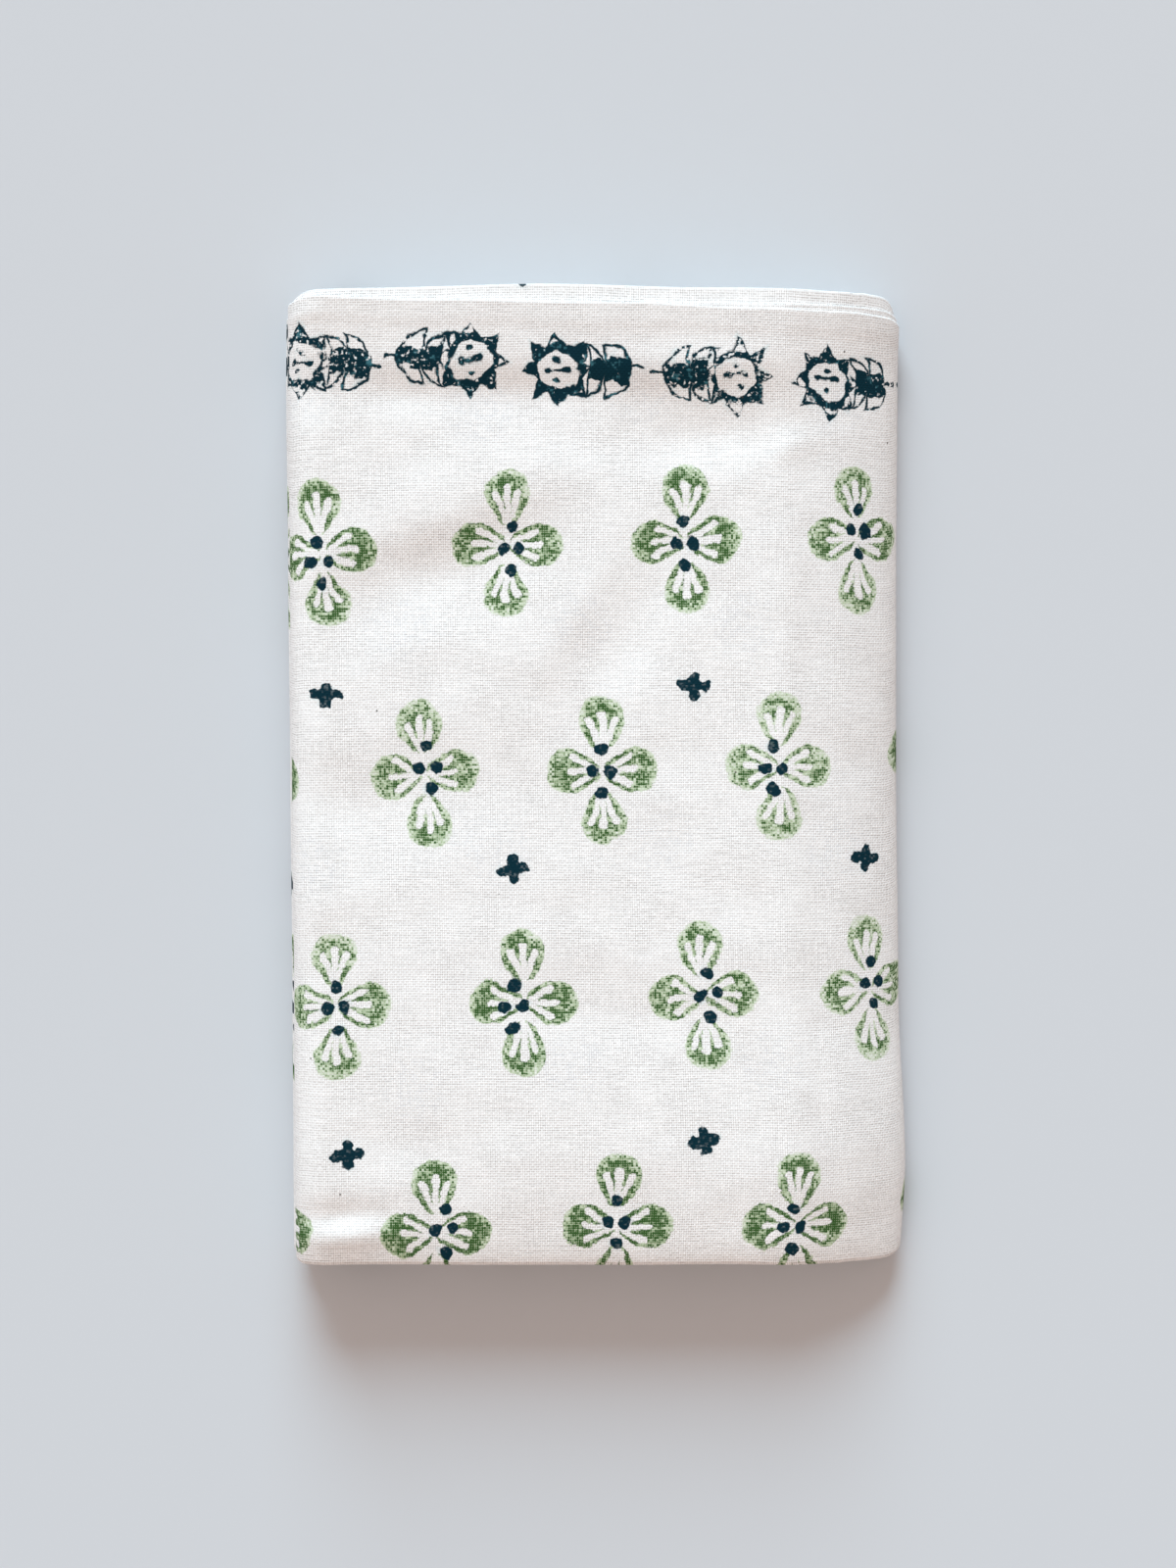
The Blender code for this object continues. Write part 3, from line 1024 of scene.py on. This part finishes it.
def tealInk(pen, cloth, flowers, crosses, border):  # where there is teal, which, and its pale halo
    farAway = 9.0
    grain = cloth.threads["Grain"]
    ragged = pen.stray(cloth.flat, *pressLook["ragged"], 2.0)
    noFlower = pen.times(pen.minus(1.0, flowers.there), farAway)
    noCross = pen.times(pen.minus(1.0, crosses.there), farAway)
    dots = pen.plus(flowers.dots, pen.times(ragged, pressLook["dotRagged"]), noFlower)
    arms = pen.plus(crosses.printed, ragged, noCross)
    solid = pen.inside(pen.least(dots, arms), tealLook["edge"])
    solid = pen.times(solid, pen.ramp(grain, *tealLook["threads"]))
    parts = {"dabs": pen.cloud(cloth.flat, pressLook["dabs"], 2.0), "grain": grain}
    wet = pen.weighed(tealLook["wet"], **parts, patch=cloth.patch, pressed=border.pressed)
    wet = pen.ramp(wet, *tealLook["stamps"])
    stamped = pen.times(pen.inside(border.printed, tealLook["stampEdge"]), wet)
    thin = pen.weighed(tealLook["thinness"], blotch=cloth.blotch, grain=grain)
    thick = pen.most(pen.ramp(thin, *tealLook["thickens"]), solid)
    colour = pen.blend(thick, tealLook["thin"], tealLook["thick"])
    nearTeal = pen.ramp(pen.least(dots, arms, border.printed), tealLook["haloWidth"], 0.0)
    halo = pen.times(nearTeal, pen.ramp(cloth.blotch, *tealLook["haloBlotch"]), tealLook["haloShare"])
    return pen.most(solid, stamped), colour, halo


def ghostMarks(pen, cloth, places):  # where the print of the ply below shows faintly through
    place = pen.moved(cloth.columnX, cloth.rowY, *layout["ghostAt"])
    x, y, _ = pen.split(pen.use(places, Place=place, **ghostRepeat)["Spot"])
    mark = pen.ramp(pen.span(x, y), *cottonLook["ghostRadius"])
    worn = pen.ramp(pen.cloud(cloth.flat, cottonLook["ghostScale"], 2.0), *cottonLook["ghostNoise"])
    return pen.times(mark, worn, cloth.threads["Gap"], cottonLook["ghostShare"])


def bareCotton(pen, cloth, places):  # painted shade where the threads gape, and uneven from thread to thread
    # painted shade: the gaps between threads darkened towards the gap colour
    gapShade = pen.times(cloth.threads["Gap"], pen.ramp(cloth.patch, *cottonLook["gapShade"]))
    colour = pen.blend(gapShade, cottonLook["colour"], cottonLook["gap"])
    colour = pen.blend(ghostMarks(pen, cloth, places), colour, cottonLook["shadeThrough"])
    tone = pen.weighed(cottonLook["tone"], thread=cloth.threads["Thread"], patch=cloth.patch)
    return pen.scaled(colour, tone)


def specks(pen, cloth, places):  # the odd bit of husk
    speck = pen.use(places, Place=cloth.flat, **speckRepeat)
    x, y, _ = pen.split(speck["Spot"])
    most, less = cottonLook["speckSize"]
    size = pen.minus(pen.times(pen.split(speck["Chance"])[1], most), less)
    husk = pen.inside(pen.minus(pen.span(x, y), size), cottonLook["speckEdge"])
    return pen.times(husk, cottonLook["speckShare"])


def cottonMaterial(alongEnds, acrossEnds):
    material, shader = newMaterial("blockPrintedCotton")
    pen = NodePen(material.node_tree)
    places = blockPlacesGroup()
    cloth = layFlat(pen, alongEnds, acrossEnds)
    flowers = printedFlowers(pen, cloth, places)
    crosses = printedCrosses(pen, cloth, places)
    border = printedBorder(pen, cloth, places)

    greenThere, green = greenInk(pen, cloth, flowers)
    tealThere, teal, halo = tealInk(pen, cloth, flowers, crosses, border)
    colour = pen.blend(halo, bareCotton(pen, cloth, places), tealLook["halo"])
    colour = pen.blend(greenThere, colour, green)
    colour = pen.blend(tealThere, colour, teal)
    colour = pen.blend(specks(pen, cloth, places), colour, cottonLook["speck"])
    pen.feed(shader.inputs["Base Color"], colour)

    inked = pen.most(greenThere, tealThere)
    pen.feed(shader.inputs["Roughness"], pen.ramp(inked, 0.0, 1.0, *cottonLook["roughness"]))
    shader.inputs["Specular IOR Level"].default_value = cottonLook["specular"]
    depth, strength = cottonLook["threadDepth"] * mm, cottonLook["threadStrength"]
    height = cloth.threads["Height"]
    raised = pen.node("ShaderNodeBump", {}, Height=height, Distance=depth, Strength=strength)[0]
    pen.feed(shader.inputs["Normal"], raised)
    return material


cloth.data.materials.append(cottonMaterial((topWay[0], topWay[-1]), (across[0], across[-1])))
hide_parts("tablecloth")
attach(cloth, "root")
print("cotton printed")


# The floor, the light and the camera.
roomLook = {
    "floor": (0.610, 0.635, 0.670),
    "floorRoughness": 0.9,
    "floorSpecular": 0.2,
    "floorSize": 8.0,
    "floorBelow": 0.2,  # millimetres under the cloth, so that the two never flicker
    "keyFrom": (-0.10, 1.0, 0.43),
    "keySoftness": 35.0,  # degrees across, as a tall window is
    "keyStrength": 4.61,
    "keyColour": (0.683, 0.896, 1.0),
    "fillFrom": (-0.5, 0.0, 1.1),
    "fillSoftness": 110.0,
    "fillStrength": 0.55,
    "fillColour": (1.0, 0.94, 0.91),
    "air": (0.480, 0.367, 0.312),
    "backdrop": (0.64, 0.67, 0.70),
    "cameraAt": (-3.2, -3.85, 1100.0),  # millimetres, as the next two are
    "topHeight": 33.0,
    "frameHeight": 594.0,  # how much of the top ply's plane the picture's long side takes in
    "sensorWidth": 36.0,
}


def makeFloor():
    bm = bmesh.new()
    bmesh.ops.create_grid(bm, x_segments=1, y_segments=1, size=roomLook["floorSize"] / 2)
    bmesh.ops.translate(bm, verts=bm.verts, vec=(0.0, 0.0, cadBox[0].z - roomLook["floorBelow"] * mm))
    mesh = bpy.data.meshes.new("floor")
    bm.to_mesh(mesh)
    bm.free()
    material, shader = newMaterial("paleFloor")
    shader.inputs["Base Color"].default_value = (*roomLook["floor"], 1.0)
    shader.inputs["Roughness"].default_value = roomLook["floorRoughness"]
    shader.inputs["Specular IOR Level"].default_value = roomLook["floorSpecular"]
    mesh.materials.append(material)
    return addObject("floor", mesh)


def makeLight(name):
    light = bpy.data.lights.new(name + "Light", "SUN")
    light.angle = math.radians(roomLook[name + "Softness"])
    light.energy = roomLook[name + "Strength"]
    light.color = roomLook[name + "Colour"]
    lamp = addObject(name + "Light", light)
    lamp.location = roomLook[name + "From"]
    lamp.rotation_mode = "QUATERNION"
    lamp.rotation_quaternion = Vector(roomLook[name + "From"]).to_track_quat("Z", "Y")


def makeAir():  # the light that comes from all round, and a pale backdrop behind the floor
    world = bpy.data.worlds.new("room")
    world.use_nodes = True
    pen = NodePen(world.node_tree)
    seen = pen.node("ShaderNodeLightPath", {})["Is Camera Ray"]
    background = world.node_tree.nodes["Background"]
    pen.feed(background.inputs["Color"], pen.blend(seen, roomLook["air"], roomLook["backdrop"]))
    bpy.context.scene.world = world


def makeCamera():
    camera = bpy.data.cameras.new("camera")
    x, y, height = roomLook["cameraAt"]
    camera.sensor_width = roomLook["sensorWidth"]
    camera.lens = roomLook["sensorWidth"] * (height - roomLook["topHeight"]) / roomLook["frameHeight"]
    eye = addObject("camera", camera)
    eye.location = (x * mm, y * mm, height * mm)  # it looks straight down
    bpy.context.scene.camera = eye


floor = makeFloor()
makeLight("key")
makeLight("fill")
makeAir()
makeCamera()
bpy.context.scene.view_settings.view_transform = "Standard"
print("room lit")
